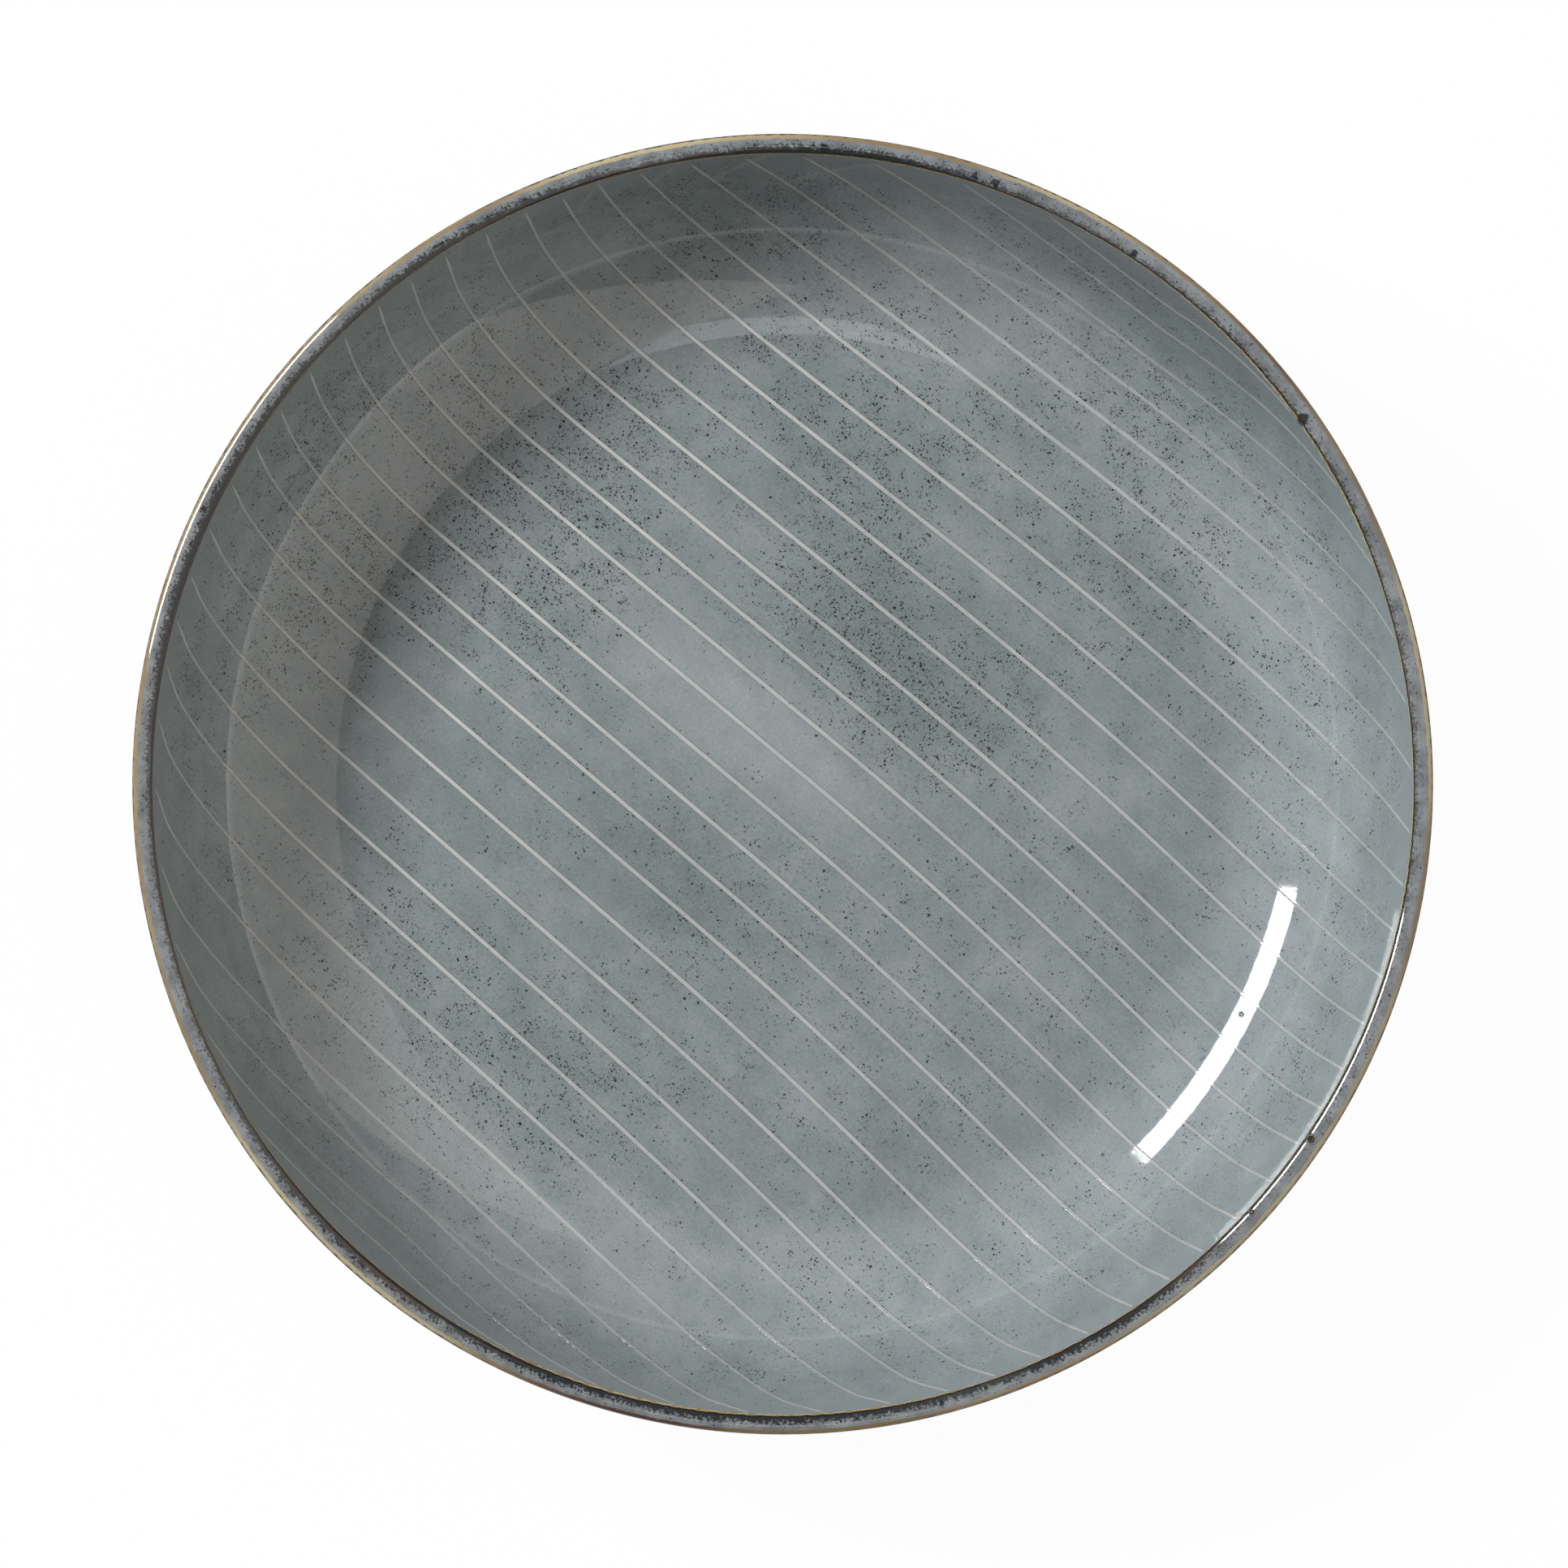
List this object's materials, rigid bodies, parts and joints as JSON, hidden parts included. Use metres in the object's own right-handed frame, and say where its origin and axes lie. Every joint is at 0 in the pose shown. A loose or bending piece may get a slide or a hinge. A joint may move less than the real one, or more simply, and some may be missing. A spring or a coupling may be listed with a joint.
{
  "type": "serving bowl",
  "caption": "Wide shallow stoneware serving bowl on a turned foot ring, blue-grey reactive glaze, lip breaking to tan, pale trailed lines across the inside.",
  "frame": {"origin": "Centre of the circle that the foot ring stands on, on the table surface.", "axes": "+Z up along the axis that the bowl was turned about. Seen from above with +X to the right and +Y up, the slip lines run from upper left to lower right."},
  "size_m": [0.34, 0.34, 0.063],
  "materials": {
    "stoneware": "fired buff stoneware, matt, hidden under the glaze",
    "bare_clay": "unglazed turned foot, matt, fine grog",
    "blue_grey_glaze": "glossy reactive glaze, soft mottled bands, dark iron specks",
    "rim_glaze": "glossy glaze breaking to tan on the edges and pooling dark inside them",
    "pale_slip": "pale cream-grey slip under gloss, low soft bead"
  },
  "bodies": {
    "root": {"stoneware_body": "stoneware", "foot_ring": "bare_clay", "inside_glaze": "blue_grey_glaze", "rim_glaze": "rim_glaze", "outside_glaze": "blue_grey_glaze", "underside_glaze": "blue_grey_glaze", "slip_line_01": "pale_slip", "slip_line_02": "pale_slip", "slip_line_03": "pale_slip", "slip_line_04": "pale_slip", "slip_line_05": "pale_slip", "slip_line_06": "pale_slip", "slip_line_07": "pale_slip", "slip_line_08": "pale_slip", "slip_line_09": "pale_slip", "slip_line_10": "pale_slip", "slip_line_11": "pale_slip", "slip_line_12": "pale_slip", "slip_line_13": "pale_slip", "slip_line_14": "pale_slip", "slip_line_15": "pale_slip", "slip_line_16": "pale_slip", "slip_line_17": "pale_slip", "slip_line_18": "pale_slip", "slip_line_19": "pale_slip", "slip_line_20": "pale_slip", "slip_line_21": "pale_slip", "slip_line_22": "pale_slip", "slip_line_23": "pale_slip", "slip_line_24": "pale_slip", "slip_line_25": "pale_slip", "slip_line_26": "pale_slip", "slip_line_27": "pale_slip", "slip_line_28": "pale_slip", "slip_line_29": "pale_slip"}
  },
  "joints": []
}
